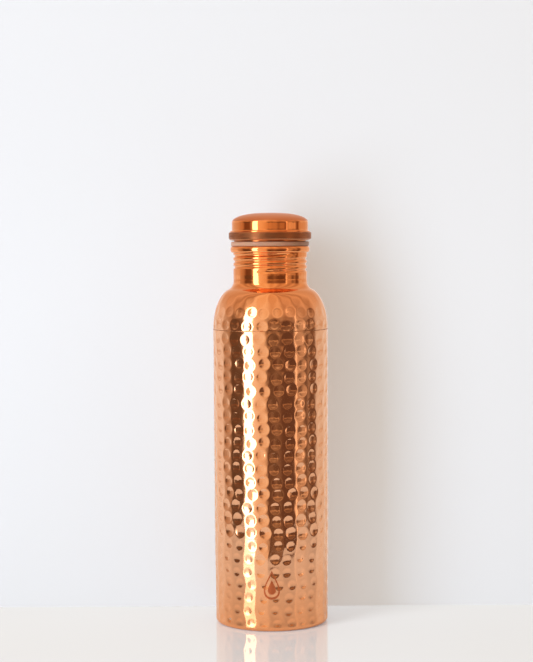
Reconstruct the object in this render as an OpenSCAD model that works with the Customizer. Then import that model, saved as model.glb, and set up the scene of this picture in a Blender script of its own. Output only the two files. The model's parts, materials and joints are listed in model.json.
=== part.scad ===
// Hammered copper water bottle with a screw cap.
// Origin: centre of the circle that the foot rests on. +Z runs up the bottle's axis, and -Y is its front.
// Every sheet piece is drawn as one line that follows a face of the sheet, given its thickness by sheet().

/* [Bottle] */
// Outside diameter where the body meets the shoulder
body_d = 75; // [72:0.5:80]
// Outside diameter just above the foot
foot_d = 73.8; // [69:0.2:75]
// Height of the body tube, up to the shoulder seam
seam_z = 192; // [150:0.1:220]
// Height of the shoulder, from the seam to the smooth neck
shoulder_h = 30; // [28:1:36]
// Thickness of the copper sheet
wall = 0.5; // [0.45:0.05:0.7]

/* [Neck and thread] */
// Outside diameter of the neck
neck_d = 48.1; // [46:0.1:52]
// Height of the neck, from the shoulder to the top of the rolled lip
neck_h = 24.2; // [24:0.2:30]
// How far the rolled lip stands out from the neck, all round
lip_out = 1.85; // [1.6:0.05:2.2]
// Rise of the thread in one turn
pitch = 3.55; // [3.4:0.05:3.8]
// Turns of thread rolled into the neck
neck_turns = 3.2; // [2:0.1:3.3]
// Turns of thread rolled into the plug
plug_turns = 2.6; // [1.5:0.1:2.8]

/* [Cap] */
// How far the cap's skirt stands out from the neck, all round
cap_out = 0.8; // [0.8:0.05:1.6]
// How far the knurled ring stands out from the skirt, all round
ring_out = 2.05; // [1.95:0.05:3]
// Height of the knurled ring
ring_h = 5.65; // [5:0.05:7]
// Height of the cap, from the top of the knurled ring to the start of the dome
skirt_h = 6.2; // [4:0.05:9]
// Rise of the cap's dome
dome_h = 6.2; // [4:0.1:10]
// Depth that the plug reaches below the lip's top
plug_depth = 17.4; // [16:0.2:18]

/* [Seal] */
// How far the silicone gasket stands out from the neck, all round
gasket_out = 1.4; // [1:0.1:2]
// Thickness of the gasket
gasket_h = 2.9; // [2:0.1:4]

/* [Hidden] */

copper = "#d98a55";
dark_copper = "#6e3f2b";
solder_colour = "#c9a37a";
silicone = "#d8d2c8";

body_r = body_d / 2;
foot_r = foot_d / 2;
neck_r = neck_d / 2;
cap_r = neck_r + cap_out;
ring_r = cap_r + ring_out;
gasket_r = neck_r + gasket_out;

// Foot and base disc
foot_round = 2.8;      // radius of the body's bottom edge
foot_lip = 2.9;        // width of the flat ring that the bottle stands on
foot_straight = 12;    // height up to which the body is a true cylinder
taper_z = 55;          // height where the foot's taper ends
taper_share = 0.8;     // how much of the way from the foot's radius to the body's it has come by then
film = 0.1;            // thickness of the solder between two sheets
fit_gap = 0.03;        // room between pieces that are pressed together
disc_flange_z = 8;     // top of the base disc's turned-up edge
punt_h = 2.4;          // rise of the base disc's middle above its rim
punt_slope = 4;        // width of the slope up to the raised middle
solder_start = 0.4;    // height of the film's lower end above the foot's rounding
solder_rise = 0.9;     // how far a fillet of solder climbs past the edge of a sheet

// Joint between the body and the shoulder
lap_h = 6;             // how far the shoulder reaches down inside the body
lap_room = 1;          // height of full-width body under the lap
skirt_r = body_r - wall - film;
joggle_angle = 75;     // how far the joggle leans out between its two bends
joggle_out = 0.2;      // radius of the lower bend, on the outer face
joggle_in = wall + 0.05;
joggle_low = [skirt_r + joggle_out, seam_z];
joggle_flat = (wall + film - (joggle_out + joggle_in) * (1 - cos(joggle_angle))) / sin(joggle_angle);
joggle_high = [body_r - joggle_in, seam_z + (joggle_out + joggle_in) * sin(joggle_angle)
                                          + joggle_flat * cos(joggle_angle)];
seam_hollow = 0.06;    // how far the solder in the seam lies under the surface

// Shoulder, neck and lip
neck_z = seam_z + shoulder_h;
lip_z = neck_z + neck_h;
shoulder_z = seam_z + 1.2;
shoulder_drop = 3;     // how far under the neck's foot the ellipse of the shoulder tops out
shoulder_rise = neck_z - shoulder_drop - shoulder_z;
shoulder_in = body_r - neck_r;
fillet_from = 76;      // angle on that ellipse where the hollow fillet into the neck begins
bore_r = neck_r - wall;
lip_round = (neck_r + lip_out - bore_r) / 2;
lip_r = bore_r + lip_round;
lip_flat = 1.8;        // straight part of the lip's outer face
lip_curl_end = -105;   // where the rolled edge stops, under the lip

// Thread: ridges stand into the bore, and out of the plug
ridge_h = 1.05;
groove_h = 0.9;
neck_ridge_w = [2.2, 0.8];     // widths at the ridge's foot and at its top
neck_groove_w = [2.4, 0.5];    // widths at the groove's mouth and at its bottom
plug_ridge_w = [1.8, 0.6];
root_sink = 0.25;      // how deep a ridge's foot lies in its sheet
faded_sink = 0.15;     // how deep its top lies there once it has faded out
mouth_out = 0.4;       // how far outside the sheet the groove's cutter starts
faded_out = 0.2;       // how far outside its tip is once it has faded out
facets = 36;           // steps in one turn of thread
run_out = 40;          // degrees over which a thread fades at each end
neck_start_angle = 245;
thread_depth = 16.5;   // depth of the neck thread's start below the lip's top
neck_thread_z = lip_z - thread_depth;
plug_thread_rise = 2.2;        // height of the plug thread's start above the plug's bottom
plug_gap = 1.5;        // radial gap between the plug and the neck's bore
plug_r = bore_r - plug_gap;
thread_drop = 1.35;    // how far the plug's ridge sits under the neck's ridge

// Heights in the closed cap
seal_gap = 0.05;
seal_slack = 0.3;      // room between the gasket's bore and the plug
seal_bevel = 0.8;      // radius of the gasket's outer edges
gasket_z = lip_z + seal_gap;
step_z = gasket_z + gasket_h + seal_gap;
step_out = 1.35;       // how far the plug's step stands out
step_r = plug_r + step_out;
recess_h = 0.6;        // height of the step that shows between the gasket and the knurled ring
flange_w = 0.9;        // width of the flange on top of the knurled ring
ring_z = step_z + recess_h;
ring_top = ring_z + ring_h;
ring_low_round = 2;
ring_top_round = 0.9;
skirt_top = ring_top + skirt_h;
brim_r = ring_r - ring_top_round;
brim_round = 0.9;      // radius of the hollow where the skirt flares into the brim
dome_power = 2.6;      // how square the dome's outline is: 2 is an ellipse
solder_arc = [256, 190];       // part of the brim's hollow that the cap's solder fills
plug_z = lip_z - plug_depth;
plug_round = 1.6;

// ---- outlines ----------------------------------------------------------

function arc(c, r, from, to, n = 12) =
    [for (i = [0:n]) let (a = from + (to - from) * i / n) c + r * [cos(a), sin(a)]];

function reversed(list) = [for (i = [len(list) - 1:-1:0]) list[i]];

function unit(v) = v / norm(v);

function left_of(v) = [-v[1], v[0]];

// Unit normal of the step from point i to the next one, to the left of the way the line runs.
function step_normal(line, i) = left_of(unit(line[i + 1] - line[i]));

// The line moved to its left by t. An end on the axis stays on the axis.
function moved(line, t) =
    let (last = len(line) - 1)
    [for (i = [0:last])
        let (before = step_normal(line, max(i - 1, 0)),
             after = step_normal(line, min(i, last - 1)),
             middle = unit(before + after))
        line[i][0] == 0
            ? line[i] + [0, t * sign(middle[1])]
            : line[i] + middle * t / (middle * after)];

// A sheet whose face follows the line, turned round the axis.
module sheet(line, t = wall) {
    rotate_extrude($fn = 128) polygon(concat(line, reversed(moved(line, t))));
}

// Outer face of the shoulder: a quarter ellipse that a hollow fillet carries into the neck.
function shoulder_point(a) = [neck_r + shoulder_in * cos(a), shoulder_z + shoulder_rise * sin(a)];
function shoulder_outline() =
    let (leave = shoulder_point(fillet_from),
         slope = atan2(shoulder_rise * cos(fillet_from), -shoulder_in * sin(fillet_from)),
         across = leave[0] - neck_r,
         turn = slope - 90,
         bend = across / (1 - cos(turn)))
    concat(
        [for (i = [0:22]) shoulder_point(fillet_from * i / 22)],
        [for (i = [1:8])
            let (a = 180 + turn * (1 - i / 8))
            [neck_r + bend + bend * cos(a), leave[1] + bend * (sin(a) - sin(180 + turn))]]);

// ---- thread ------------------------------------------------------------

// A ridge wound round the axis. It starts at angle start and height z, and rises by one pitch a turn.
// root_r and crest_r are the radii of its foot and top, and widths holds its widths there.
// hidden_r is the radius that its top falls back to where the thread fades out.
module helix(z, start, turns, root_r, crest_r, hidden_r, widths) {
    n = round(turns * facets);
    function fade(i) = min(1, i * 360 / facets / run_out, (n - i) * 360 / facets / run_out);
    function ring(i) =
        let (a = start + i * 360 / facets,
             h = z + pitch * i / facets,
             top = hidden_r + (crest_r - hidden_r) * fade(i),
             root = widths[0] / 2,
             crest = widths[1] / 2,
             section = [[root_r, -root], [top, -crest], [top, crest], [root_r, root]])
        [for (p = section) [p[0] * cos(a), p[0] * sin(a), h + p[1]]];
    points = [for (i = [0:n]) each ring(i)];
    sides = [for (i = [0:n - 1], k = [0:3])
        let (a = 4 * i + k, b = 4 * i + (k + 1) % 4, c = b + 4, d = a + 4)
        each [[a, b, c], [a, c, d]]];
    ends = [[0, 3, 2], [0, 2, 1], [4 * n, 4 * n + 1, 4 * n + 2], [4 * n, 4 * n + 2, 4 * n + 3]];
    faces = concat(sides, ends);
    polyhedron(points, crest_r > root_r ? faces : [for (f = faces) reversed(f)]);
}

// ---- sub-parts ---------------------------------------------------------

// Pressed base: a flat rim, a raised middle and an edge turned up inside the body.
module base_disc() {
    rim_r = foot_r - wall - film;
    round_r = foot_round - wall;
    flat_r = rim_r - round_r;
    line = concat(
        [[0, wall + punt_h], [flat_r - foot_lip - punt_slope, wall + punt_h]],
        [for (i = [1:10])
            let (s = i / 10)
            [flat_r - foot_lip - punt_slope * (1 - s), wall + punt_h * (1 + cos(180 * s)) / 2]],
        arc([flat_r, wall + round_r], round_r, -90, 0),
        [[rim_r, disc_flange_z]]);
    color(copper) sheet(line);
}

// Solder that holds the base disc in the body: a film between the sheets, and a fillet over the edge.
module base_solder() {
    outer = foot_r - wall;
    color(solder_colour) rotate_extrude($fn = 128)
        polygon([[outer - film, foot_round + solder_start], [outer, foot_round + solder_start],
                 [outer, disc_flange_z + solder_rise], [outer - film - wall, disc_flange_z],
                 [outer - film, disc_flange_z]]);
}

// Body tube, rolled in at the foot. Its upper end holds the shoulder's skirt.
module body_tube() {
    line = concat(
        [[foot_r - foot_round - foot_lip, 0]],
        arc([foot_r - foot_round, foot_round], foot_round, -90, 0),
        [[foot_r, foot_straight],
         [foot_r + (body_r - foot_r) * taper_share, taper_z],
         [body_r, seam_z - lap_h - lap_room],
         [body_r, seam_z]]);
    color(copper) sheet(line);
}

// Solder in the lap joint: it fills the groove outside and the film between the sheets, and ends in a fillet.
module shoulder_solder() {
    outer = body_r - wall;
    low = seam_z - lap_h;
    fill_angle = acos(1 - seam_hollow / joggle_in);
    color(solder_colour) rotate_extrude($fn = 128)
        polygon(concat(
            [[outer, low - solder_rise], [outer, seam_z], [body_r - seam_hollow, seam_z]],
            arc(joggle_high, joggle_in + fit_gap, -fill_angle, -joggle_angle, 5),
            arc(joggle_low, joggle_out - fit_gap, 180 - joggle_angle, 180, 5),
            [[skirt_r + fit_gap, low], [skirt_r - wall, low]]));
}

// Shoulder and neck, drawn from one sheet: skirt, joggle, shoulder, threaded neck and rolled lip.
module shoulder_neck() {
    face = concat(
        [[skirt_r, seam_z - lap_h]],
        arc(joggle_low, joggle_out, 180, 180 - joggle_angle, 6),
        arc(joggle_high, joggle_in, -joggle_angle, 0, 6),
        shoulder_outline(),
        [[neck_r, lip_z - lip_round]]);
    top = [lip_r, lip_z - lip_round];
    low = top - [0, lip_flat];
    line = concat(
        face,
        arc(top, lip_round - wall, 180, 0),
        arc(low, lip_round - wall, 0, lip_curl_end),
        arc(low, lip_round, lip_curl_end, 0),
        arc(top, lip_round, 0, 180),
        reversed([for (p = moved(face, wall)) if (p[1] < lip_z - lip_round - 0.01) p]));
    color(copper) difference() {
        union() {
            rotate_extrude($fn = 128) polygon(line);
            helix(neck_thread_z, neck_start_angle, neck_turns,
                  bore_r + root_sink, bore_r - ridge_h, bore_r + faded_sink, neck_ridge_w);
        }
        helix(neck_thread_z, neck_start_angle, neck_turns,
              neck_r + mouth_out, neck_r - groove_h, neck_r + faded_out, neck_groove_w);
    }
}

// Silicone ring between the rolled lip and the plug's step.
module gasket() {
    inner = plug_r + seal_slack;
    edge_r = gasket_r - seal_bevel;
    color(silicone) rotate_extrude($fn = 128)
        polygon(concat(
            [[inner, gasket_z]],
            arc([edge_r, gasket_z + seal_bevel], seal_bevel, -90, 0, 8),
            arc([edge_r, gasket_z + gasket_h - seal_bevel], seal_bevel, 0, 90, 8),
            [[inner, gasket_z + gasket_h]]));
}

// Threaded cup under the cap. Its step presses the gasket, and its flange hangs on the knurled ring.
module cap_plug() {
    line = concat(
        [[0, plug_z]],
        arc([plug_r - plug_round, plug_z + plug_round], plug_round, -90, 0),
        [[plug_r, step_z], [step_r, step_z], [step_r, ring_top], [step_r + flange_w, ring_top]]);
    thread_z = plug_z + plug_thread_rise;
    first_turn = (thread_z - neck_thread_z + thread_drop) / pitch;
    color(copper) union() {
        sheet(line);
        helix(thread_z, neck_start_angle + 360 * first_turn, plug_turns,
              plug_r - root_sink, plug_r + ridge_h, plug_r - faded_sink, plug_ridge_w);
    }
}

// Grip ring, soldered to the plug inside and under the cap's brim.
module knurled_ring() {
    color(dark_copper) rotate_extrude($fn = 128)
        polygon(concat(
            [[step_r + fit_gap, ring_z]],
            arc([ring_r - ring_low_round, ring_z + ring_low_round], ring_low_round, -90, 0),
            arc([ring_r - ring_top_round, ring_top - ring_top_round], ring_top_round, 0, 90, 6),
            [[step_r + fit_gap, ring_top]]));
}

// Solder inside the cap, in the hollow between the knurled ring, the plug's flange and the brim.
module cap_solder() {
    edge_r = step_r + flange_w;
    under = arc([cap_r + brim_round, ring_top + wall + brim_round], brim_round + wall + fit_gap,
        solder_arc[0], solder_arc[1], 8);
    color(solder_colour) rotate_extrude($fn = 128)
        polygon(concat([[edge_r, ring_top], [under[0][0], ring_top]], under, [[edge_r, ring_top + wall]]));
}

// Domed cap with a straight skirt and a brim that flares over the knurled ring.
module cap_shell() {
    brim_top = ring_top + wall;
    dome = [for (i = [0:20])
        let (a = 90 - 90 * i / 20)
        [cap_r * pow(sin(a), 2 / dome_power), skirt_top + dome_h * cos(a)]];
    line = concat(
        [[brim_r, brim_top]],
        arc([cap_r + brim_round, brim_top + brim_round], brim_round, 270, 180, 8),
        dome);
    color(copper) sheet(line);
}

base_disc();
base_solder();
body_tube();
shoulder_solder();
shoulder_neck();
gasket();
cap_plug();
knurled_ring();
cap_solder();
cap_shell();
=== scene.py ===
import json
import math
import random

import bpy
from bpy.props import FloatProperty, FloatVectorProperty, IntProperty, PointerProperty
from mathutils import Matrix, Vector, noise


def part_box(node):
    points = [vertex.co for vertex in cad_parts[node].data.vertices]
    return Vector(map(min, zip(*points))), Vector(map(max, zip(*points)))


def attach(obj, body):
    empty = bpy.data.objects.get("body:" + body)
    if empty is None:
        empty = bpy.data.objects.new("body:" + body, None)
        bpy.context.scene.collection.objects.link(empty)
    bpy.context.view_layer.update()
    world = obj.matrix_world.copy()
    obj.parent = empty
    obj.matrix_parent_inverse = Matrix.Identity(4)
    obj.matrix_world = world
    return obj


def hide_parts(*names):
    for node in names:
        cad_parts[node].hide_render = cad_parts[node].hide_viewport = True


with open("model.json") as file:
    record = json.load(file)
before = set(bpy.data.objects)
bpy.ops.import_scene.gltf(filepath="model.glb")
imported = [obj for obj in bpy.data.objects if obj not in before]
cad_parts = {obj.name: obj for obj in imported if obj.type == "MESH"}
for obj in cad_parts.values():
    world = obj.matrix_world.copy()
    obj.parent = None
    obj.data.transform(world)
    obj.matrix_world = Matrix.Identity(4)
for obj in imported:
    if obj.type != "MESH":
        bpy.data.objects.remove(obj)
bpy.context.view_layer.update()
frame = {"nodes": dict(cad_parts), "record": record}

bl_info = {
    "name": "Hammered Copper Bottle",
    "version": (1, 0, 0),
    "blender": (4, 5, 0),
    "location": "View3D > Sidebar > Bottle",
    "description": "Builds the visible sheets, seal, cap and finishes of a hammered copper water bottle",
    "category": "Object",
}

# Heights and radii that the CAD frame fixes, in metres.
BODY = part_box("body_tube")[1]
LIP_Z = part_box("shoulder_neck")[1].z
SEAL_LOW, SEAL_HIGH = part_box("gasket")
PLUG_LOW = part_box("cap_plug")[0]
RING_LOW, RING_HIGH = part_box("knurled_ring")
SHELL_LOW, SHELL_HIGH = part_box("cap_shell")
PITCH = frame["record"]["behaviour"]["couplings"][0]["ratio"] * 2 * math.pi
SEAM_Z = BODY.z
FRONT = -math.pi / 2


# ---- settings ----

def number(name, description, default, make=FloatProperty, **kind):
    return make(name=name, description=description, default=default, **kind)


def count(*setting):
    return number(*setting, make=IntProperty)


def length(*setting):
    return number(*setting, unit="LENGTH", precision=5)


def angle(name, description, degrees):
    return number(name, description, math.radians(degrees), subtype="ANGLE")


def share(*setting):
    return number(*setting, subtype="FACTOR", min=0, max=1)


def power(*setting):
    return number(*setting, unit="POWER")


def colour(*setting):
    return number(*setting, make=FloatVectorProperty, subtype="COLOR", size=3, min=0, max=1)


class SheetSettings(bpy.types.PropertyGroup):
    """Sizes of the bottle's sheet copper."""
    wall: length("Sheet", "Thickness of the copper sheet", 0.0005)
    foot_radius: length("Foot radius", "Radius of the body just above the foot", 0.0369)
    foot_round: length("Foot round", "Radius of the body's bottom edge", 0.0028)
    foot_lip: length("Foot lip", "Width of the flat ring that the bottle stands on", 0.0029)
    foot_straight: length("Straight foot", "Height up to which the body is a true cylinder", 0.012)
    taper_z: length("Taper height", "Height where the foot's taper ends", 0.055)
    lap: length("Lap", "How far the shoulder reaches down inside the body", 0.006)
    neck_radius: length("Neck radius", "Outside radius of the neck", 0.02405)
    shoulder_rise: length("Shoulder", "Height of the shoulder, from the seam to the neck", 0.03)
    waist: length("Waist", "How far the neck draws in just above the shoulder", 0.00007)
    lip_out: length("Lip", "How far the rolled lip stands out from the neck", 0.00185)
    lip_flat: length("Lip flat", "Straight part of the lip's outer face", 0.0018)


class HammerSettings(bpy.types.PropertyGroup):
    """The ball-peen marks, in upright columns round the bottle."""
    columns: count("Columns", "Columns of marks round the bottle", 27)
    first_column: angle("First column", "Angle of a column from the front", 4.6)
    row_step: length("Row step", "Height from one mark to the next", 0.0083)
    first_row: length("First row", "Depth of the first row of marks under the seam", 0.0043)
    rows_up: count("Rows above", "Rows of marks above the seam", 3)
    rows_down: count("Rows below", "Rows of marks below the seam", 23)
    radius: length("Mark radius", "Radius of one mark", 0.0034)
    depth: length("Depth", "Depth of one mark's bowl", 0.00012)
    drop: length("Drop", "Depth of the steep edge round the bowl", 0.0002)
    rim: length("Rim", "Height of the rim that a blow raises round its mark", 0.000055)
    rim_width: share("Rim width", "Width of the raised rim, as a share of the mark's radius", 0.42)
    pit: length("Pit", "Extra depth in the middle of a mark", 0.00015)
    flute: length("Flute", "How far a column of marks has flattened the wall near the foot", 0.00016)
    ripple: length("Ripple", "Height of the wall's small unevenness", 0.0001)
    wander: length("Wander", "How far a mark may stray from its place", 0.0008)
    sway: angle("Sway", "How far a whole row may stray to one side", 2.6)
    seed: count("Seed", "Picks another scatter of marks", 7)


class ThreadSettings(bpy.types.PropertyGroup):
    """The thread rolled into the neck and the plug."""
    start: angle("Start", "Angle from the front where the neck's thread starts", -25)
    start_below_lip: length("Start below lip", "Depth of the thread's start under the lip's top", 0.0165)
    turns: number("Turns", "Turns of thread in the neck", 3.2)
    plug_turns: number("Plug turns", "Turns of thread on the plug", 2.6)
    depth: length("Depth", "Depth of the groove rolled into the neck", 0.0009)
    crest: length("Crest", "Height of the thread on the plug", 0.00105)
    half_width: length("Half width", "Half of the groove's width", 0.0015)
    run_out: angle("Run-out", "Angle over which the thread fades at each end", 40)


class CapSettings(bpy.types.PropertyGroup):
    """The cap's ring, shell and plug."""
    teeth: count("Knurl", "Ridges round the knurled ring", 98)
    knurl_depth: length("Knurl depth", "Depth of the knurl's valleys", 0.0004)
    knurl_lean: number("Lean", "Ridges that one ridge passes over, foot to top", 2.0)
    skirt_radius: length("Skirt radius", "Outside radius of the cap's skirt", 0.02485)
    skirt_height: length("Skirt height", "Height from the ring's top to the start of the dome", 0.0062)
    brim_round: length("Brim round", "Radius of the hollow above the brim", 0.0009)
    dome_power: number("Dome", "How square the dome's outline is", 2.6)
    ring_low_round: length("Ring foot round", "Radius of the ring's lower edge", 0.002)
    ring_top_round: length("Ring top round", "Radius of the ring's upper edge", 0.0009)
    plug_radius: length("Plug radius", "Outside radius of the plug between its threads", 0.02205)
    step_radius: length("Step radius", "Radius of the plug's step over the seal", 0.0234)


class FinishSettings(bpy.types.PropertyGroup):
    """Colours and polish."""
    copper: colour("Copper", "Hammered copper", (0.96, 0.51, 0.295))
    copper_dark: colour("Warm copper", "Hammered copper, darkened a little", (0.86, 0.37, 0.17))
    copper_foot: colour("Copper at the foot", "Hammered copper, darkened most", (0.90, 0.37, 0.15))
    polished: colour("Polished copper", "Copper of the neck and the cap", (0.98, 0.37, 0.135))
    polished_dark: colour("Warm polished copper", "The same where it has darkened", (0.86, 0.27, 0.08))
    dome: colour("Dome", "Matt copper on top of the cap", (0.78, 0.27, 0.12))
    edge: colour("Edge tint", "Tint of the copper seen at a glancing angle", (1.0, 0.92, 0.84))
    ring: colour("Ring", "Darkened copper of the knurled ring", (0.15, 0.036, 0.013))
    # Bare copper on the knurl's tops: real wear, brightened further as a painted highlight.
    ring_worn_glint: colour("Ring, worn", "The knurl's tops, brightened by hands", (0.80, 0.32, 0.14))
    # Seal colour, darker and warmer than its pale grey silicone: painted shade and painted copper glow.
    silicone: colour("Seal", "Silicone of the seal", (0.46, 0.27, 0.19))
    solder: colour("Solder", "Solder inside the joints", (0.66, 0.62, 0.56))
    joint: colour("Joint", "Darkened line of the soldered joint", (0.40, 0.17, 0.08))
    mark: colour("Etched drop", "Matt print of the drop", (0.60, 0.17, 0.07))
    hammered_gloss: share("Hammered roughness", "Roughness of the hammered copper", 0.075)
    plain_gloss: share("Plain roughness", "Roughness of the plain polished copper", 0.055)
    dome_gloss: share("Dome roughness", "Roughness of the cap's dome", 0.33)
    mark_height: length("Drop height", "Height of the etched drop's middle", 0.0305)
    mark_size: length("Drop size", "Half of the etched drop's height", 0.0095)


class StageSettings(bpy.types.PropertyGroup):
    """Shelf, wall, light and camera."""
    shelf: colour("Shelf", "Colour of the shelf", (0.74, 0.78, 0.82))
    shelf_glow: colour("Shelf glow", "Light from the rest of the room on the shelf", (0.09, 0.14, 0.18))
    wall: colour("Wall", "Colour of the wall", (0.487, 0.583, 0.72))
    wall_glow: colour("Wall glow", "Light from the rest of the room on the wall", (0.338, 0.303, 0.266))
    wall_back: length("Wall distance", "Distance from the bottle's axis back to the wall", 0.0434)
    shelf_front: length("Shelf front", "Distance from the bottle's axis to the shelf's front edge", 0.25)
    window_power: power("Window", "Power of the window's light", 16)
    fill_power: power("Fill", "Power of the soft light on shelf and wall", 48)
    window_compass: angle("Window direction", "Angle of the window to the left of the front", 45.5)
    window_distance: length("Window distance", "Distance of the window from the bottle", 2.0)
    eye_height: length("Eye height", "Height of the camera", 0.2514)
    eye_distance: length("Eye distance", "Distance from the bottle's axis to the camera", 1.146)
    tilt: angle("Tilt", "How far the camera looks down", 3.03)
    pan: angle("Pan", "How far the camera looks to the left of the axis", 0.114)
    roll: angle("Roll", "How far the camera is turned about its own axis", 0.31)
    lens: number("Lens", "Focal length", 95.44, unit="CAMERA")


class BottleSettings(bpy.types.PropertyGroup):
    """Everything that a user may change."""
    sheet: PointerProperty(type=SheetSettings)
    hammer: PointerProperty(type=HammerSettings)
    thread: PointerProperty(type=ThreadSettings)
    cap: PointerProperty(type=CapSettings)
    finish: PointerProperty(type=FinishSettings)
    stage: PointerProperty(type=StageSettings)


# ---- outlines ----

def arc(centre_r, centre_z, radius, start, end, steps=8):
    """Points of an arc in the plane of the outline. Angles are in degrees, from +R towards +Z."""
    angles = [math.radians(start + (end - start) * i / steps) for i in range(steps + 1)]
    return [(centre_r + radius * math.cos(a), centre_z + radius * math.sin(a)) for a in angles]


def finer(points, step):
    """The same outline with its long straight parts cut so that no part is longer than step."""
    fine = [points[0]]
    for here, there in zip(points, points[1:]):
        parts = max(1, math.ceil(math.dist(here, there) / step - 1e-6))
        fine += [(here[0] + (there[0] - here[0]) * i / parts, here[1] + (there[1] - here[1]) * i / parts)
                 for i in range(1, parts + 1)]
    return fine


def offset(points, distance):
    """The outline moved to its left by a distance. An end on the axis stays on it."""
    normals = []
    for here, there in zip(points, points[1:]):
        run = math.dist(here, there)
        normals.append(Vector(((here[1] - there[1]) / run, (there[0] - here[0]) / run)))
    moved = []
    for i, point in enumerate(points):
        before = normals[max(i - 1, 0)]
        after = normals[min(i, len(normals) - 1)]
        middle = (before + after).normalized()
        if point[0] < 1e-9:
            moved.append((0.0, point[1] + math.copysign(distance, middle.y)))
        else:
            shift = middle * distance / middle.dot(after)
            moved.append((point[0] + shift.x, point[1] + shift.y))
    return moved


# ---- modelling ----

def only(piece):
    """Makes the piece the active one and the only one selected."""
    bpy.ops.object.select_all(action="DESELECT")
    bpy.context.view_layer.objects.active = piece
    piece.select_set(True)


def edit(piece, action="DESELECT"):
    """Opens the piece in edit mode with nothing, or everything, in it selected."""
    only(piece)
    bpy.ops.object.mode_set(mode="EDIT")
    bpy.ops.mesh.select_all(action=action)


def leave():
    """Leaves edit mode."""
    bpy.ops.object.mode_set(mode="OBJECT")


def apply(piece, modifier):
    """Applies one modifier of the piece."""
    only(piece)
    bpy.ops.object.modifier_apply(modifier=modifier.name)


def turned(name, outline, segments):
    """Extrudes one point along an outline, turns it round the axis, and closes its seam and poles."""
    bpy.ops.mesh.primitive_circle_add(vertices=3, radius=0.001, location=(0, 0, 0))
    piece = bpy.context.object
    piece.name = piece.data.name = name
    edit(piece, "SELECT")
    bpy.ops.mesh.merge(type="CENTER")
    bpy.ops.transform.translate(value=(outline[0][0], 0, outline[0][1]))
    for here, there in zip(outline, outline[1:]):
        step = (there[0] - here[0], 0, there[1] - here[1])
        bpy.ops.mesh.extrude_vertices_move(TRANSFORM_OT_translate={"value": step})
    bpy.ops.mesh.select_all(action="SELECT")
    bpy.ops.mesh.remove_doubles(threshold=1e-7)
    leave()
    turn = piece.modifiers.new("turn", "SCREW")
    turn.steps = turn.render_steps = segments
    turn.use_merge_vertices = True
    turn.merge_threshold = 1e-7
    apply(piece, turn)
    edit(piece, "SELECT")
    bpy.ops.mesh.remove_doubles(threshold=1e-6)
    bpy.ops.mesh.normals_make_consistent(inside=False)
    leave()
    return piece


def sink(piece, name, depth, weight_at):
    """Weights the vertices by weight_at(place), from 0 to 1, and sinks them along their normals."""
    group = piece.vertex_groups.new(name=name)
    for vertex in piece.data.vertices:
        weight = weight_at(vertex.co)
        if weight > 0.001:
            group.add([vertex.index], min(weight, 1.0), "REPLACE")
    press = piece.modifiers.new(name, "DISPLACE")
    press.vertex_group = name
    press.mid_level = 0
    press.strength = -depth
    apply(piece, press)


def lined(outside, inside):
    """Joins an inner skin to an outer one and bridges their rims, upper and lower."""
    edit(inside, "SELECT")
    bpy.ops.mesh.flip_normals()
    leave()
    outside.select_set(True)
    inside.select_set(True)
    bpy.context.view_layer.objects.active = outside
    bpy.ops.object.join()
    heights = [v.co.z for v in outside.data.vertices]
    middle = (min(heights) + max(heights)) / 2
    for upper in (False, True):
        edit(outside)
        bpy.ops.mesh.select_mode(type="EDGE")
        bpy.ops.mesh.select_non_manifold(extend=False, use_wire=False, use_multi_face=False,
                                         use_non_contiguous=False, use_verts=False)
        leave()
        for edge in outside.data.edges:
            if edge.select and (outside.data.vertices[edge.vertices[0]].co.z > middle) != upper:
                edge.select = False
        if any(edge.select for edge in outside.data.edges):
            bpy.ops.object.mode_set(mode="EDIT")
            bpy.ops.mesh.bridge_edge_loops()
            leave()
    edit(outside)
    bpy.ops.mesh.select_mode(type="VERT")
    bpy.ops.mesh.select_all(action="SELECT")
    bpy.ops.mesh.normals_make_consistent(inside=False)
    leave()
    return outside


CRISP = math.radians(35)  # edges sharper than this stay crisp


def coat(piece, material):
    """Gives the piece its only material."""
    piece.data.materials.clear()
    piece.data.materials.append(material)


def finish_piece(piece, body, slot, material, *stands_for):
    """Shades the piece, gives it its material and body, and hides the CAD nodes that it stands for."""
    coat(piece, material)
    only(piece)
    bpy.ops.object.shade_smooth_by_angle(angle=CRISP)
    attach(piece, body)
    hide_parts(*stands_for)


# ---- the bottle's wall ----

SHOULDER_FOOT = SEAM_Z + 0.0012  # height where the shoulder leaves the joggle
FILLET_RISE = 0.003  # height left above the ellipse for the neck's fillet
FILLET_FROM = math.radians(76)  # how far round the ellipse runs before the fillet
TAPER_SHARE = 0.8  # share of the body's widening that lies in the foot's taper
BELL_MARGIN = 0.001  # the body is straight from this far below the lap
BELL_MARKS = 0.75  # depth of the marks where the two sheets overlap


def bell_z(sheet):
    """Height above which the body is straight, round the lap."""
    return SEAM_Z - sheet.lap - BELL_MARGIN


def shoulder_points(sheet, steps=30, fillet_steps=8):
    """Outer face of the shoulder, seam to neck: a quarter ellipse and a hollow fillet."""
    rise = SEAM_Z + sheet.shoulder_rise - FILLET_RISE - SHOULDER_FOOT
    reach = BODY.x - sheet.neck_radius
    points = []
    for i in range(steps + 1):
        a = FILLET_FROM * i / steps
        points.append((sheet.neck_radius + reach * math.cos(a), SHOULDER_FOOT + rise * math.sin(a)))
    turn = math.atan2(rise * math.cos(FILLET_FROM), -reach * math.sin(FILLET_FROM)) - math.pi / 2
    bend = (points[-1][0] - sheet.neck_radius) / (1 - math.cos(turn))
    centre_z = points[-1][1] + bend * math.sin(turn)
    for i in range(1, fillet_steps + 1):
        a = turn * (1 - i / fillet_steps)
        points.append((sheet.neck_radius + bend - bend * math.cos(a), centre_z - bend * math.sin(a)))
    return points


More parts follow.
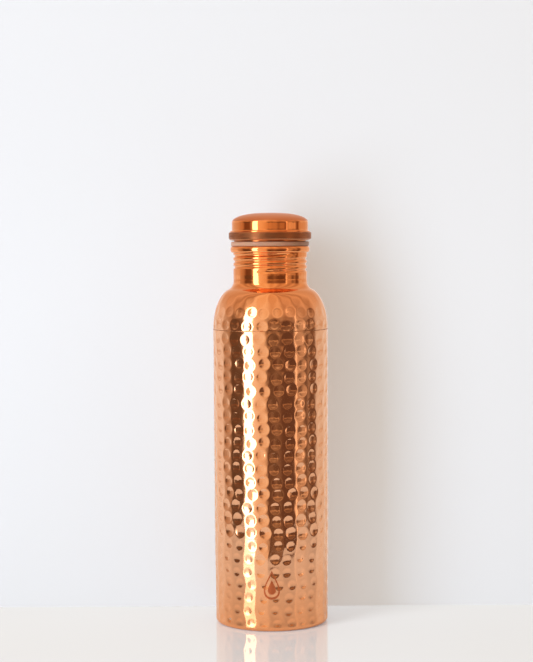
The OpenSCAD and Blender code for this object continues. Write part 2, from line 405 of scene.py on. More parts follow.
def body_radius(sheet, z):
    """Outside radius of the body at a height, from the foot's straight part to the seam."""
    taper_radius = sheet.foot_radius + (BODY.x - sheet.foot_radius) * TAPER_SHARE
    if z < sheet.foot_straight:
        return sheet.foot_radius
    if z < sheet.taper_z:
        return sheet.foot_radius + (taper_radius - sheet.foot_radius) * (z - sheet.foot_straight) \
            / (sheet.taper_z - sheet.foot_straight)
    return min(BODY.x, taper_radius + (BODY.x - taper_radius) * (z - sheet.taper_z)
               / (bell_z(sheet) - sheet.taper_z))


# ---- hammer marks and thread ----

SLIP_CHANCE, SLIP = 0.1, 3  # how often a row slips, and how much farther it strays then
STEADY = 0.35  # share of a row's stray that the next row keeps
FAINT_ROWS = {-2: (0.75, 0.95), -3: (0.35, 0.85)}  # force and size of marks on the upper shoulder
FAINT_BELOW, FAINT_FOOT = 0.06, (0.7, 0.8)  # the same near the foot, and up to what height
FLUTE_TOP, FLUTE_FADE, FLUTE_LEAST = 0.085, 0.03, 0.25  # flutes deepen downward from FLUTE_TOP
FOOT_FADE = 0.006  # height over which the marks fade in above the foot
SHOULDER_CLEAR, SHOULDER_FADE = 0.027, 0.01  # where the marks end above the seam
RIPPLE_CLEAR, RIPPLE_FADE = 0.031, 0.004  # where the unevenness ends above the seam
RIPPLE_SCALE = 120
RIM_REACH = 2.2  # radii of a mark within which its raised rim counts
EDGE_POWER = 6  # steepness of the edge round a mark's bowl
PIT_FOCUS = 9  # narrowness of the pit in the middle of a mark
RESERVE = 1.15  # height kept free for the raised rims, in rims


def held(value):
    """The value, held between 0 and 1."""
    return min(1.0, max(0.0, value))


def hammer_marks(sheet, hammer):
    """Every hammer mark by row and column: its angle, height, radius on the wall and force."""
    dice = random.Random(hammer.seed)
    shoulder = shoulder_points(sheet)
    marks, sways, sway = {}, {}, 0.0
    for row in range(-hammer.rows_up, hammer.rows_down):
        level = SEAM_Z - hammer.first_row - hammer.row_step * row
        stray = dice.uniform(-1, 1) * hammer.sway
        sway = STEADY * sway + stray * (SLIP if dice.random() < SLIP_CHANCE else 1)
        sways[row] = sway
        for column in range(hammer.columns):
            z = level + dice.uniform(-1, 1) * hammer.wander
            if z < SEAM_Z:
                wall_radius = body_radius(sheet, z)
            else:
                wall_radius = min(shoulder, key=lambda p: abs(p[1] - z))[0]
            a = FRONT + hammer.first_column + 2 * math.pi * column / hammer.columns + sway
            a += dice.uniform(-1, 1) * hammer.wander / wall_radius
            force = dice.uniform(0.8, 1.0)
            size = hammer.radius * dice.uniform(0.92, 1.06)
            near_foot = FAINT_FOOT if z < FAINT_BELOW else (1, 1)
            for fainter, smaller in (FAINT_ROWS.get(row, (1, 1)), near_foot):
                force, size = force * fainter, size * smaller
            marks[row, column] = (a, z, size, force)
    return marks, sways


def hammered(sheet, hammer):
    """Depth of the hammered wall at each place, as a share of the deepest that it can be."""
    marks, sways = hammer_marks(sheet, hammer)
    column_step = 2 * math.pi / hammer.columns
    reserve = RESERVE * hammer.rim
    deepest = hammer.depth + hammer.drop + hammer.pit + hammer.flute + hammer.ripple + reserve

    def swayed(rows_down):
        row = math.floor(rows_down)
        part = rows_down - row
        part = part * part * (3 - 2 * part)
        here, there = (sways[min(max(r, -hammer.rows_up), hammer.rows_down - 1)] for r in (row, row + 1))
        return here + (there - here) * part

    def weight_at(place):
        radius = place.xy.length
        heading = math.atan2(place.y, place.x)
        rows_down = (SEAM_Z - hammer.first_row - place.z) / hammer.row_step
        across = (heading - FRONT - hammer.first_column - swayed(rows_down)) / column_step
        column = round(across)
        near_foot = min(1.0, max(FLUTE_LEAST, (FLUTE_TOP - place.z) / FLUTE_FADE))
        above_seam = place.z - SEAM_Z
        foot_fade = held(place.z / FOOT_FADE)
        fade = min(foot_fade, held((SHOULDER_CLEAR - above_seam) / SHOULDER_FADE))
        total = reserve + hammer.flute * (1 - 4 * (across - column) ** 2) * near_foot
        for row in (math.floor(rows_down), math.floor(rows_down) + 1):
            for side in (-1, 0, 1):
                mark = marks.get((row, (column + side) % hammer.columns))
                if not mark:
                    continue
                a, z, size, force = mark
                d = math.hypot(math.remainder(heading - a, 2 * math.pi) * radius, place.z - z) / size
                if d < 1:
                    edge = d ** EDGE_POWER
                    bowl = hammer.depth * (1 - d * d) + hammer.drop * (1 - edge)
                    total += force * (bowl - hammer.rim * edge)
                    total += force * hammer.pit * math.exp(-PIT_FOCUS * d * d)
                elif d < RIM_REACH:
                    total -= force * hammer.rim * math.exp(-((d - 1) / hammer.rim_width) ** 2)
        uneven = hammer.ripple * (0.5 + 0.5 * noise.noise(place * RIPPLE_SCALE))
        uneven *= min(foot_fade, held((RIPPLE_CLEAR - above_seam) / RIPPLE_FADE))
        return (max(0.0, total) * fade + uneven) / deepest
    return weight_at, deepest


def rolled_thread(thread, start_z, start_angle, turns):
    """How deep the thread's groove is at each place, from 0 to 1."""
    fade = thread.run_out / (2 * math.pi)

    def weight_at(place):
        along = (math.atan2(place.y, place.x) - start_angle) / (2 * math.pi) % 1.0
        best = 0.0
        for turn in range(math.ceil(turns) + 1):
            t = along + turn
            if t > turns:
                break
            away = abs(place.z - start_z - PITCH * t) / thread.half_width
            if away < 1:
                ends = max(0.0, min(1.0, t / fade, (turns - t) / fade))
                best = max(best, (0.5 + 0.5 * math.cos(math.pi * away)) * ends)
        return best
    return weight_at


# ---- materials ----

FOOT_TONE_TOP = 0.045  # height below which the copper turns darker and redder towards the foot
NECK_TONE_RISE = 0.026  # height over which the shoulder's tone changes to the neck's
DOME_EDGE = 0.0006  # height over which the cap's polish changes to the dome's


class Tree:
    """A node tree, with short ways to add nodes and to wire them."""

    def __init__(self, node_tree):
        self.nodes, self.links = node_tree.nodes, node_tree.links

    def put(self, node, **inputs):
        """Sets or wires a node's inputs, by name or, as i0, i1 and so on, by number."""
        for key, value in inputs.items():
            numbered = key[0] == "i" and key[1:].isdigit()
            socket = node.inputs[int(key[1:]) if numbered else key.replace("_", " ")]
            if isinstance(value, bpy.types.NodeSocket):
                self.links.new(value, socket)
            else:
                socket.default_value = (*value, 1.0) if socket.type == "RGBA" else value
        return node

    def add(self, kind, settings=None, **inputs):
        """A new node, with its own settings and its inputs set."""
        node = self.nodes.new("ShaderNode" + kind)
        for key, value in (settings or {}).items():
            setattr(node, key, value)
        return self.put(node, **inputs)

    def place(self, system="Object"):
        return self.add("TexCoord").outputs[system]

    def clouds(self, place, scale, detail=2.0, roughness=0.5):
        return self.add("TexNoise", Vector=place, Scale=scale, Detail=detail,
                        Roughness=roughness).outputs[0]

    def spread(self, value, low, high, to_low=0.0, to_high=1.0, shape="LINEAR"):
        """A value carried from one range to another and held inside it."""
        return self.add("MapRange", {"interpolation_type": shape}, Value=value, From_Min=low,
                        From_Max=high, To_Min=to_low, To_Max=to_high).outputs[0]

    def calc(self, operation, a, b=0.0, clamp=False):
        """One step of arithmetic."""
        return self.add("Math", {"operation": operation, "use_clamp": clamp}, i0=a, i1=b).outputs[0]

    def mix(self, factor, first, second):
        """Blend of two colours."""
        return self.add("Mix", {"data_type": "RGBA"}, i0=factor, i6=first, i7=second).outputs[2]

    def between(self, factor, first, second):
        """Blend of two numbers."""
        return self.add("Mix", i0=factor, i2=first, i3=second).outputs[0]

    def bump(self, height, strength, distance):
        """A normal that follows a height."""
        return self.add("Bump", Height=height, Strength=strength, Distance=distance).outputs[0]


def new_material(name):
    """A material, its tree and its shader."""
    material = bpy.data.materials.new(name)
    material.use_nodes = True
    return material, Tree(material.node_tree), material.node_tree.nodes["Principled BSDF"]


def copper(name, finish, roughness, warm_share=0.35, drop=False, polished=False, dome_from=None,
           neck_from=None):
    """Polished copper with smudges and fine hairlines. It may take the etched drop, a matt dome above
    the height dome_from, or the neck's tone above the height neck_from."""
    material, tree, shader = new_material(name)
    place = tree.place()
    height = tree.add("SeparateXYZ", Vector=place).outputs[2]
    bright, warm = finish.copper, finish.copper_dark
    if polished:
        bright, warm = finish.polished, finish.polished_dark
    tone = tree.spread(tree.clouds(place, 55.0, 3.0, 0.55), 0.35, 0.75, 0.0, warm_share)
    base = tree.mix(tone, bright, warm)
    smudge = tree.clouds(place, 30.0, 5.0, 0.6)
    rough = tree.spread(smudge, 0.3, 0.7, roughness * 0.75, roughness * 1.6)
    along = tree.add("Mapping", Vector=place, Scale=(1.0, 1.0, 0.08)).outputs[0]
    hairlines = tree.bump(tree.clouds(along, 2600.0), 0.04, 0.00005)
    if drop:
        # Darker, redder copper towards the foot.
        foot = tree.spread(height, FOOT_TONE_TOP, 0.0, 0.0, 0.8)
        base = tree.mix(foot, base, finish.copper_foot)
        mask = drop_mask(finish, place, tree)
        base = tree.mix(mask, base, finish.mark)
        rough = tree.between(mask, rough, 0.5)
    if neck_from:
        rise = tree.spread(height, neck_from, neck_from + NECK_TONE_RISE)
        base = tree.mix(rise, base, finish.polished)
    if dome_from:
        top = tree.spread(height, dome_from, dome_from + DOME_EDGE)
        base = tree.mix(top, base, finish.dome)
        rough = tree.between(top, rough, finish.dome_gloss)
    tree.put(shader, Base_Color=base, Roughness=rough, Normal=hairlines, Metallic=1.0,
             Specular_Tint=finish.edge)
    return material


def drop_mask(finish, place, tree):
    """1 inside the etched water drop on the front: an outline with a small solid drop in it."""
    calc = tree.calc
    x, y, z = tree.add("SeparateXYZ", Vector=place).outputs

    def drop(share, lowered):
        """1 inside a smaller drop, set lower. Both arguments are shares of the full size."""
        size = finish.mark_size * share
        s = calc("DIVIDE", calc("SUBTRACT", z, finish.mark_height - finish.mark_size * lowered), size)
        across = calc("DIVIDE", x, size * 0.78)
        lower = calc("MULTIPLY", calc("SUBTRACT", 1.0, s), 0.5, clamp=True)
        round_part = calc("SUBTRACT", 1.0, calc("MULTIPLY", s, s), clamp=True)
        width = calc("MULTIPLY", round_part, calc("POWER", lower, 1.6))
        return calc("GREATER_THAN", width, calc("MULTIPLY", across, across))

    outline = calc("SUBTRACT", drop(1.0, 0.0), drop(0.82, 0.03), clamp=True)
    print_area = calc("ADD", outline, drop(0.5, 0.16), clamp=True)
    return calc("MULTIPLY", print_area, calc("LESS_THAN", y, 0.0))


def mottled(name, first, second, scale, detail, polish, spread=(0.0, 1.0), relief=None, worn_glint=False,
            **inputs):
    """Two colours mottled by noise, with a roughness that follows the noise. Relief is a grain's scale,
    detail, strength and depth. With its wear flag set, a material shows its second colour on the knurl's
    tops only: real wear there, brightened further as a painted highlight."""
    material, tree, shader = new_material(name)
    place = tree.place()
    clouds = tree.clouds(place, scale, detail)
    amount = tree.spread(clouds, *spread)
    # The knurl's tops take the second colour, pushed past full strength: wear and a painted highlight.
    if worn_glint:
        tops = tree.add("Attribute", {"attribute_name": "worn_glint"}).outputs["Fac"]
        amount = tree.calc("MULTIPLY", tree.spread(tops, 0.7, 1.0, 0.0, 1.3), amount)
    if relief:
        grain_scale, grain_detail, strength, depth = relief
        grain = tree.clouds(place, grain_scale, grain_detail)
        tree.put(shader, Normal=tree.bump(grain, strength, depth))
    tree.put(shader, Base_Color=tree.mix(amount, first, second),
             Roughness=tree.spread(clouds, 0.0, 1.0, *polish), **inputs)
    return material


def darker(tint, share):
    return tuple(part * share for part in tint)


# ---- operators ----

# Mesh steps up each outline, and segments round it.
BODY_STEP, BODY_SEGMENTS = 0.00079, 351
LINING_STEP, LINING_SEGMENTS = 0.003, 117
NECK_SEGMENTS, SHELL_SEGMENTS, SEAL_SEGMENTS, TOOTH_SEGMENTS = 288, 256, 192, 8
DISC_TOP = 0.01  # the body's lining is smooth up to here, round the base disc
CLEARANCE = 0.0001  # gap between the shoulder's skirt and the body
WAIST_HEIGHT = 0.0045  # height over which the neck draws in
NECK_TONE_FROM = 0.004  # height above the seam where the neck's tone begins
DOME_TONE_FROM = 0.0007  # height above the skirt where the dome's begins
NEAR = 1e-4  # margin within which a place counts as on a wall


class Builder:
    """What every operator here does: it builds from the scene's settings."""

    def execute(self, context):
        self.build(context.scene.bottle)
        return {"FINISHED"}


class BOTTLE_OT_body(Builder, bpy.types.Operator):
    """Models the hammered body tube, rolled in at the foot"""
    bl_idname = "bottle.body"
    bl_label = "Body Tube"

    def build(self, bottle):
        sheet, hammer = bottle.sheet, bottle.hammer
        foot = sheet.foot_radius
        corners = [(foot - sheet.foot_round - sheet.foot_lip, 0)]
        corners += arc(foot - sheet.foot_round, sheet.foot_round, sheet.foot_round, -90, 0)
        corners += [(foot, sheet.foot_straight),
                    (body_radius(sheet, sheet.taper_z), sheet.taper_z),
                    (BODY.x, bell_z(sheet)),
                    (BODY.x, SEAM_Z)]
        dent_at, deepest = hammered(sheet, hammer)

        def outer_dent(place):
            return dent_at(place) * (BELL_MARKS if place.z > bell_z(sheet) else 1)

        def inner_dent(place):
            return outer_dent(place) * held((place.z - DISC_TOP) / FOOT_FADE)

        outside = turned("hammered_body", finer(corners, BODY_STEP), BODY_SEGMENTS)
        sink(outside, "hammer marks", deepest, outer_dent)
        lining = turned("body_lining", finer(offset(corners, sheet.wall), LINING_STEP), LINING_SEGMENTS)
        sink(lining, "hammer marks", deepest, inner_dent)
        body = lined(outside, lining)
        finish_piece(body, "bottle", "hammered_copper",
                     copper("hammered copper", bottle.finish, bottle.finish.hammered_gloss, drop=True),
                     "body_tube")


class BOTTLE_OT_shoulder(Builder, bpy.types.Operator):
    """Models the shoulder and neck: hammered shoulder, plain band, rolled thread and rolled lip"""
    bl_idname = "bottle.shoulder"
    bl_label = "Shoulder and Neck"

    def build(self, bottle):
        sheet, hammer, thread = bottle.sheet, bottle.hammer, bottle.thread
        skirt = BODY.x - sheet.wall - CLEARANCE
        joggle_out, joggle_in, joggle_height = 0.0002, sheet.wall + 0.00005, 0.0005
        lean = math.radians(75)
        rise = (joggle_out + joggle_in) * math.sin(lean)
        wall_part = [(skirt, SEAM_Z - sheet.lap)]
        wall_part += arc(skirt + joggle_out, SEAM_Z, joggle_out, 180, 105, 3)
        wall_part += arc(BODY.x - joggle_in, SEAM_Z + rise, joggle_in, -75, 0, 6)
        shoulder = finer(shoulder_points(sheet, 38), 0.0008)
        lip_round = (sheet.lip_out + sheet.wall) / 2
        bore = sheet.neck_radius - sheet.wall
        roll_z = LIP_Z - lip_round
        thread_low = LIP_Z - thread.start_below_lip - thread.half_width
        steps = 10
        waist = []
        for i in range(1, steps + 1):
            draw = 0.5 - 0.5 * math.cos(2 * math.pi * (i / steps) ** 0.6)
            waist.append((sheet.neck_radius - sheet.waist * draw,
                          shoulder[-1][1] + WAIST_HEIGHT * i / steps))
        neck = waist + [(sheet.neck_radius, z) for z in (thread_low, roll_z - 0.0001)]
        face = wall_part + shoulder + finer(neck, 0.0003)
        swell = 1 + sheet.lip_flat / 2 / lip_round
        sag = roll_z - sheet.lip_flat / 2

        def bulged(radius, start, end, steps):
            """Arc of the rolled edge, drawn taller than a circle."""
            flat_arc = arc(bore + lip_round, 0, radius, start, end, steps)
            return [(x, sag + z * swell) for x, z in flat_arc]

        roll = arc(bore + lip_round, roll_z, lip_round - sheet.wall, 180, 100, 6)
        roll += bulged(lip_round - sheet.wall, 80, -105, 16)
        back = bulged(lip_round, -105, 90, 22)
        back += arc(bore + lip_round, roll_z, lip_round, 90, 180, 9)[1:]
        lining = offset(wall_part + shoulder_points(sheet, 24) + finer(neck, 0.0004), sheet.wall)
        dent_at, deepest = hammered(sheet, hammer)
        thread_at = rolled_thread(thread, LIP_Z - thread.start_below_lip, FRONT + thread.start,
                                  thread.turns)

        def dented(place):
            return dent_at(place) * (BELL_MARKS if place.z < SEAM_Z + joggle_height else 1)

        def threaded(place):
            return thread_at(place) if place.xy.length < sheet.neck_radius + NEAR else 0.0

        outside = turned("shoulder_and_neck", face + roll + back, NECK_SEGMENTS)
        inner = turned("neck_lining", lining + [(bore, roll_z)], NECK_SEGMENTS)
        for skin in (outside, inner):
            sink(skin, "hammer marks", deepest, dented)
            sink(skin, "thread", thread.depth, threaded)
        piece = lined(outside, inner)
        finish_piece(piece, "bottle", "hammered_copper",
                     copper("neck copper", bottle.finish, bottle.finish.hammered_gloss,
                            neck_from=SEAM_Z + NECK_TONE_FROM),
                     "shoulder_neck")


class BOTTLE_OT_seal(Builder, bpy.types.Operator):
    """Models the silicone seal"""
    bl_idname = "bottle.seal"
    bl_label = "Seal"

    def build(self, bottle):
        inner = bottle.cap.plug_radius + 0.0003
        low, high, outer, bevel, inner_bevel = SEAL_LOW.z, SEAL_HIGH.z, SEAL_HIGH.x, 0.0008, 0.0002
        outline = arc(inner + inner_bevel, low + inner_bevel, inner_bevel, 180, 270, 3)
        outline += finer([outline[-1], (outer - bevel, low)], 0.001)[1:-1]
        outline += arc(outer - bevel, low + bevel, bevel, -90, 0, 8)
        outline += arc(outer - bevel, high - bevel, bevel, 0, 90, 8)
        outline += arc(inner + inner_bevel, high - inner_bevel, inner_bevel, 90, 180, 3)
        seal = turned("silicone_seal", outline + outline[:1], SEAL_SEGMENTS)
        # The seal's colour carries painted shade and painted glow from the copper round it.
        tint = bottle.finish.silicone
        silicone = mottled("silicone", tint, darker(tint, 0.86), 220.0, 4.0, (0.32, 0.5),
                           spread=(0.3, 0.7), relief=(1500.0, 2.0, 0.08, 0.0001),
                           Subsurface_Weight=0.35, Subsurface_Scale=0.002, IOR=1.41)
        finish_piece(seal, "seal", "silicone", silicone, "gasket")


class BOTTLE_OT_plug(Builder, bpy.types.Operator):
    """Models the threaded cup under the cap"""
    bl_idname = "bottle.plug"
    bl_label = "Plug"

    def build(self, bottle):
        cap, thread, wall = bottle.cap, bottle.thread, bottle.sheet.wall
        r, low, step = cap.plug_radius, PLUG_LOW.z, cap.step_radius
        step_z = SEAL_HIGH.z + 0.00005
        foot_round, hollow, step_round, brim = 0.0016, 0.0004, 0.0003, 0.0009
        face = [(0, low)] + finer([(0.0008, low), (r - foot_round, low)], 0.0015)
        face += arc(r - foot_round, low + foot_round, foot_round, -90, 0, 8)[1:]
        face += finer([face[-1], (r, step_z - hollow)], 0.0003)[1:]
        face += arc(r + hollow, step_z - hollow, hollow, 180, 90, 4)[1:]
        face += arc(step - step_round, step_z + step_round, step_round, -90, 0, 4)
        face += finer([(step, step_z + 0.0008), (step, RING_HIGH.z)], 0.001)
        face += [(step + brim, RING_HIGH.z)]
        outside = turned("threaded_plug", face, NECK_SEGMENTS)
        lining = turned("plug_lining", offset(face, wall), NECK_SEGMENTS)
        start_z = low + 0.0022
        neck_start_z = LIP_Z - thread.start_below_lip - 0.00135
        turned_by = 2 * math.pi * (start_z - neck_start_z) / PITCH
        thread_at = rolled_thread(thread, start_z, FRONT + thread.start + turned_by, thread.plug_turns)
        crest_low, crest_high = low + 0.0012, step_z - 0.001

        def crest(place):
            on_wall = r - wall - NEAR < place.xy.length < r + NEAR
            return thread_at(place) if on_wall and crest_low < place.z < crest_high else 0.0

        for skin in (outside, lining):
            sink(skin, "thread", -thread.crest, crest)
        plug = lined(outside, lining)
        finish_piece(plug, "cap", "polished_copper",
                     copper("plug copper", bottle.finish, 0.16, 0.6, polished=True), "cap_plug")


class BOTTLE_OT_ring(Builder, bpy.types.Operator):
    """Models the knurled grip ring"""
    bl_idname = "bottle.ring"
    bl_label = "Knurled Ring"

    def build(self, bottle):
        cap = bottle.cap
        r, low, high = RING_HIGH.x, RING_LOW.z, RING_HIGH.z
        inner = cap.step_radius + 0.00003
        low_round, top_round = cap.ring_low_round, cap.ring_top_round
        outline = finer([(inner, low), (r - low_round, low)], 0.0012)
        outline += arc(r - low_round, low + low_round, low_round, -90, 0, 12)[1:]
        outline += finer([(r, low + low_round), (r, high - top_round)], 0.0002)[1:-1]
        outline += arc(r - top_round, high - top_round, top_round, 0, 90, 8)
        outline += [(inner, high)]
        ring = turned("knurled_ring_piece", outline + outline[:1], cap.teeth * TOOTH_SEGMENTS)
        knurl_low, knurl_high, run_out, face_depth = low + 0.0009, high - 0.0003, 0.12, 0.0011

        def valley(place):
            if place.xy.length < r - face_depth or not knurl_low < place.z < knurl_high:
                return 0.0
            up = (place.z - knurl_low) / (knurl_high - knurl_low)
            turn = cap.teeth * math.atan2(place.y, place.x) - 2 * math.pi * cap.knurl_lean * up
            fade = min(1.0, up / run_out, (1 - up) / run_out)
            return fade * max(0.0, -math.cos(turn))

        sink(ring, "knurl", cap.knurl_depth, valley)
        # Marks the knurl's tops for the bright colour: real wear with a painted highlight.
        worn_glint = ring.data.attributes.new("worn_glint", "FLOAT", "POINT")
        for vertex in ring.data.vertices:
            worn_glint.data[vertex.index].value = 1 - sum(group.weight for group in vertex.groups)
        finish = bottle.finish
        worn_glint_copper = mottled("knurled copper", finish.ring, finish.ring_worn_glint, 180.0, 4.0, (0.10, 0.2),
                              worn_glint=True, Metallic=1.0)
        finish_piece(ring, "cap", "knurled_copper", worn_glint_copper, "knurled_ring")


class BOTTLE_OT_shell(Builder, bpy.types.Operator):
    """Models the domed cap shell with its flared brim"""
    bl_idname = "bottle.shell"
    bl_label = "Cap Shell"

    def build(self, bottle):
        cap, wall = bottle.cap, bottle.sheet.wall
        r, brim_top = cap.skirt_radius, SHELL_LOW.z + wall
        skirt_top = SHELL_LOW.z + cap.skirt_height
        rise = SHELL_HIGH.z - skirt_top
        face = finer([(SHELL_HIGH.x, brim_top), (r + cap.brim_round, brim_top)], 0.0004)
        face += arc(r + cap.brim_round, brim_top + cap.brim_round, cap.brim_round, 270, 180, 10)[1:]
        face += finer([face[-1], (r, skirt_top)], 0.0006)[1:-1]
        steps = 44
        for i in range(steps + 1):
            a = math.pi / 2 * (1 - i / steps)
            face.append((r * math.sin(a) ** (2 / cap.dome_power), skirt_top + rise * math.cos(a)))
        face[-1] = (0.0, SHELL_HIGH.z)
        outline = face + offset(face, wall)[::-1] + face[:1]
        shell = turned("domed_cap", outline, SHELL_SEGMENTS)
        finish_piece(shell, "cap", "polished_copper",
                     copper("cap copper", bottle.finish, bottle.finish.plain_gloss, polished=True,
                            dome_from=skirt_top + DOME_TONE_FROM), "cap_shell")


class BOTTLE_OT_finishes(Builder, bpy.types.Operator):
    """Gives the base disc and the solder their finishes"""
    bl_idname = "bottle.finishes"
    bl_label = "Base and Solder"

    def build(self, bottle):
        finish = bottle.finish
        plain = copper("plain copper", finish, 0.22, 0.8)
        tin = mottled("solder", finish.solder, darker(finish.solder, 0.7), 400.0, 3.0, (0.3, 0.5),
                      relief=(400.0, 3.0, 0.3, 0.0002), Metallic=1.0)
        joint = mottled("tarnished joint", finish.joint, finish.copper_dark, 300.0, 4.0, (0.3, 0.5),
                        spread=(0.35, 0.65), Metallic=1.0)
        finishes = {"base_disc": plain, "base_solder": tin, "shoulder_solder": joint, "cap_solder": tin}
        for node, material in finishes.items():
            coat(frame["nodes"][node], material)


# What stands round the room: compass angle from the front, in degrees, and the colour seen there.
LOW_THINGS = (
    (-180, (0.9, 0.9, 0.92)), (-112, (0.9, 0.88, 0.88)), (-106, (0.6, 0.5, 0.42)),
    (-90, (0.44, 0.31, 0.22)), (-85, (0.13, 0.08, 0.05)), (-60, (0.15, 0.1, 0.07)),
    (-56, (0.5, 0.42, 0.34)), (-34, (1.0, 0.86, 0.68)), (-12, (0.85, 0.64, 0.45)),
    (-6, (0.15, 0.08, 0.05)), (5, (0.17, 0.1, 0.06)), (14, (0.27, 0.17, 0.11)),
    (22, (0.15, 0.08, 0.05)), (47, (0.13, 0.07, 0.045)), (51, (0.88, 0.66, 0.48)),
    (55, (0.62, 0.43, 0.3)), (66, (0.52, 0.36, 0.24)), (74, (0.15, 0.09, 0.06)),
    (83, (0.38, 0.26, 0.18)), (89, (0.14, 0.08, 0.05)), (98, (0.2, 0.12, 0.08)),
    (104, (0.74, 0.68, 0.62)), (140, (0.84, 0.82, 0.8)), (180, (0.9, 0.9, 0.92))
)
BRIGHT_STRIP = (
    (-180, (0.9, 0.9, 0.92)), (-112, (0.66, 0.5, 0.38)), (-95, (0.62, 0.4, 0.26)),
    (-86, (0.5, 0.3, 0.18)), (-81, (0.2, 0.09, 0.045)), (-64, (0.24, 0.12, 0.06)),
    (-58, (0.66, 0.46, 0.3)), (-36, (1.0, 0.84, 0.62)), (-20, (0.9, 0.66, 0.42)),
    (-5, (0.72, 0.46, 0.26)), (20, (0.58, 0.36, 0.2)), (43, (0.52, 0.3, 0.16)),
    (46, (0.3, 0.15, 0.08)), (53, (0.34, 0.18, 0.1)), (58, (0.86, 0.66, 0.48)), (82, (0.8, 0.58, 0.4)),
    (88, (0.24, 0.12, 0.06)), (94, (0.24, 0.12, 0.06)), (98, (0.66, 0.46, 0.31)),
    (150, (0.76, 0.66, 0.56)), (180, (0.9, 0.9, 0.92))
)
HIGH_THINGS = (
    (-180, (0.8, 0.7, 0.62)), (-120, (0.66, 0.5, 0.38)), (-104, (0.82, 0.64, 0.5)),
    (-90, (0.5, 0.34, 0.22)), (-78, (0.74, 0.54, 0.38)), (-66, (0.46, 0.3, 0.18)),
    (-52, (0.98, 0.82, 0.62)), (-40, (1.0, 0.88, 0.68)), (-28, (0.92, 0.7, 0.46)),
    (-14, (1.0, 0.84, 0.62)), (4, (0.74, 0.5, 0.3)), (18, (0.9, 0.68, 0.46)), (32, (0.56, 0.36, 0.22)),
    (48, (0.78, 0.56, 0.38)), (64, (0.5, 0.33, 0.21)), (80, (0.78, 0.58, 0.42)),
    (96, (0.5, 0.34, 0.22)), (112, (0.8, 0.64, 0.5)), (140, (0.68, 0.54, 0.43)),
    (180, (0.8, 0.7, 0.62))
)
CLUTTER_SCALE, CLUTTER_SHIFT = 7.0, 0.07

# Lamps: width, lower edge and upper edge.
WINDOW = (0.56, -1.0, 1.45)
FILL = (0.9, -1.0, 3.6)
DOOR = (0.14, -0.6, 1.2)
DOOR_COMPASS, DOOR_DISTANCE, DOOR_POWER = math.radians(52), 2.0, 0.45
COOL_LIGHT, WARM_LIGHT = (0.96, 0.98, 1.0), (1.0, 0.82, 0.62)
SHELF_WIDTH, SHELF_BACK, SHELF_THICK = 0.8, 0.9, 0.03


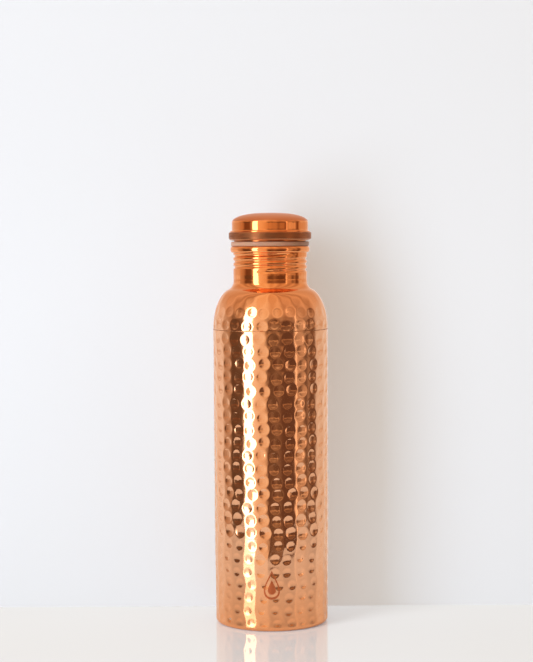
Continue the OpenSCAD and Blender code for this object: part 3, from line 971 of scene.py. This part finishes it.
class BOTTLE_OT_stage(Builder, bpy.types.Operator):
    """Sets the shelf, the room's light and the camera"""
    bl_idname = "bottle.stage"
    bl_label = "Stage"

    def build(self, bottle):
        stage, scene = bottle.stage, bpy.context.scene
        self.shelf(stage)
        self.wall(stage)
        self.room(scene)
        self.lamp("window", -stage.window_compass, stage.window_distance, stage.window_power, WINDOW)
        fill = self.lamp("fill", -stage.window_compass, stage.window_distance, stage.fill_power, FILL)
        fill.visible_glossy = False
        self.lamp("door", DOOR_COMPASS, DOOR_DISTANCE, DOOR_POWER, DOOR, WARM_LIGHT)
        self.camera(scene, stage)
        scene.view_settings.view_transform = "Standard"

    def shelf(self, stage):
        """A glossy shelf with its top at the bottle's foot."""
        bpy.ops.mesh.primitive_cube_add(size=1, location=(0, 0, 0))
        shelf = bpy.context.object
        shelf.name = "shelf"
        edit(shelf, "SELECT")
        bpy.ops.transform.resize(value=(SHELF_WIDTH, SHELF_BACK + stage.shelf_front, SHELF_THICK))
        bpy.ops.transform.translate(value=(0, (SHELF_BACK - stage.shelf_front) / 2, -SHELF_THICK / 2))
        bpy.ops.mesh.bevel(offset=0.001, segments=2)
        leave()
        material, tree, shader = new_material("shelf")
        sheen = tree.clouds(tree.place(), 12.0, 3.0)
        rough = tree.spread(sheen, 0.0, 1.0, 0.03, 0.07)
        tree.put(shader, Base_Color=stage.shelf, Roughness=rough,
                 Emission_Color=stage.shelf_glow, Emission_Strength=1.0)
        shelf.data.materials.append(material)

    def wall(self, stage):
        """A plain wall that shows from the front and can be seen through from behind."""
        bpy.ops.mesh.primitive_plane_add(size=1, location=(0, stage.wall_back, 2),
                                         rotation=(math.pi / 2, 0, 0))
        wall = bpy.context.object
        wall.name = "wall"
        wall.scale = (8, 4, 1)
        material, tree, shader = new_material("wall")
        tree.put(shader, Base_Color=stage.wall, Roughness=0.9, Specular_IOR_Level=0.0,
                 Emission_Color=stage.wall_glow, Emission_Strength=1.0)
        behind = tree.add("NewGeometry").outputs["Backfacing"]
        clear = tree.add("BsdfTransparent").outputs[0]
        mix = tree.add("MixShader", i0=behind, i1=shader.outputs[0], i2=clear).outputs[0]
        tree.put(tree.nodes["Material Output"], Surface=mix)
        wall.data.materials.append(material)
        wall.visible_glossy = wall.visible_diffuse = False
        wall.visible_shadow = wall.visible_transmission = False

    def room(self, scene):
        """A pale room with darker things in it, given by the compass angle of each direction."""
        world = bpy.data.worlds.new("room")
        scene.world = world
        world.use_nodes = True
        world.node_tree.nodes.clear()
        tree = Tree(world.node_tree)
        place = tree.place("Generated")
        x, y, z = tree.add("SeparateXYZ", Vector=place).outputs
        compass = tree.calc("ARCTAN2", x, tree.calc("MULTIPLY", y, -1.0))
        turn = tree.spread(compass, -math.pi, math.pi)
        shift = tree.spread(tree.clouds(place, CLUTTER_SCALE), 0.0, 1.0, -CLUTTER_SHIFT, CLUTTER_SHIFT)
        level = tree.calc("ADD", z, shift)

        def ramp(stops):
            node = tree.add("ValToRGB", i0=turn)
            elements = node.color_ramp.elements
            elements.remove(elements[1])
            for i, (degrees, shade) in enumerate(stops):
                position = (degrees + 180) / 360
                stop = elements.new(position) if i else elements[0]
                stop.position = position
                stop.color = (*shade, 1.0)
            return node.outputs[0]

        def above(low, high, most=1.0):
            return tree.spread(level, low, high, 0.0, most, "SMOOTHSTEP")

        low_things = ramp(LOW_THINGS)
        colours = tree.mix(above(-0.055, 0.005), low_things, ramp(BRIGHT_STRIP))
        colours = tree.mix(above(0.012, 0.05, 0.85), colours, low_things)
        colours = tree.mix(above(0.10, 0.42), colours, ramp(HIGH_THINGS))
        room = tree.add("Background", Color=colours).outputs[0]
        pale = tree.add("Background", Color=(0.86, 0.86, 0.87)).outputs[0]
        seen = tree.add("LightPath").outputs["Is Camera Ray"]
        mix = tree.add("MixShader", i0=seen, i1=room, i2=pale).outputs[0]
        tree.add("OutputWorld", Surface=mix)

    def lamp(self, name, compass, distance, strength, shape, tint=COOL_LIGHT):
        """An upright rectangle of light at a compass angle from the front, positive to the right."""
        width, low, high = shape
        a = FRONT + compass
        place = (distance * math.cos(a), distance * math.sin(a), (low + high) / 2)
        bpy.ops.object.light_add(type="AREA", location=place)
        lamp = bpy.context.object
        lamp.name = name
        lamp.data.shape = "RECTANGLE"
        lamp.data.size, lamp.data.size_y = width, high - low
        lamp.data.energy = strength
        lamp.data.color = tint
        lamp.rotation_euler = Vector((-place[0], -place[1], 0)).to_track_quat("-Z", "Y").to_euler()
        lamp.visible_camera = False
        return lamp

    def camera(self, scene, stage):
        bpy.ops.object.camera_add(location=(0, -stage.eye_distance, stage.eye_height))
        camera = bpy.context.object
        camera.name = "camera"
        camera.rotation_euler = (math.pi / 2 - stage.tilt, stage.roll, stage.pan)
        camera.data.lens = stage.lens
        camera.data.sensor_width = 36
        camera.data.clip_start = 0.01
        scene.camera = camera


class BOTTLE_PT_panel(bpy.types.Panel):
    """Lists the bottle's pieces and their sizes"""
    bl_idname = "BOTTLE_PT_panel"
    bl_label = "Copper Bottle"
    bl_space_type = "VIEW_3D"
    bl_region_type = "UI"
    bl_category = "Bottle"

    def draw(self, context):
        bottle = context.scene.bottle
        for title in ("sheet", "hammer", "thread", "cap", "finish", "stage"):
            group = getattr(bottle, title)
            box = self.layout.box()
            box.label(text=title.capitalize())
            for name in group.__annotations__:
                box.prop(group, name)
        for piece in OPERATORS:
            self.layout.operator(piece.bl_idname)


GROUPS = (SheetSettings, HammerSettings, ThreadSettings, CapSettings, FinishSettings, StageSettings,
          BottleSettings)
OPERATORS = (BOTTLE_OT_body, BOTTLE_OT_shoulder, BOTTLE_OT_seal, BOTTLE_OT_plug, BOTTLE_OT_ring,
             BOTTLE_OT_shell, BOTTLE_OT_finishes, BOTTLE_OT_stage)
CLASSES = GROUPS + OPERATORS + (BOTTLE_PT_panel,)


def register():
    for item in CLASSES:
        bpy.utils.register_class(item)
    bpy.types.Scene.bottle = PointerProperty(type=BottleSettings)


def unregister():
    del bpy.types.Scene.bottle
    for item in reversed(CLASSES):
        bpy.utils.unregister_class(item)


def main():
    register()
    bpy.ops.bottle.body()
    bpy.ops.bottle.shoulder()
    bpy.ops.bottle.seal()
    bpy.ops.bottle.plug()
    bpy.ops.bottle.ring()
    bpy.ops.bottle.shell()
    bpy.ops.bottle.finishes()
    bpy.ops.bottle.stage()


if __name__ == "__main__":
    main()
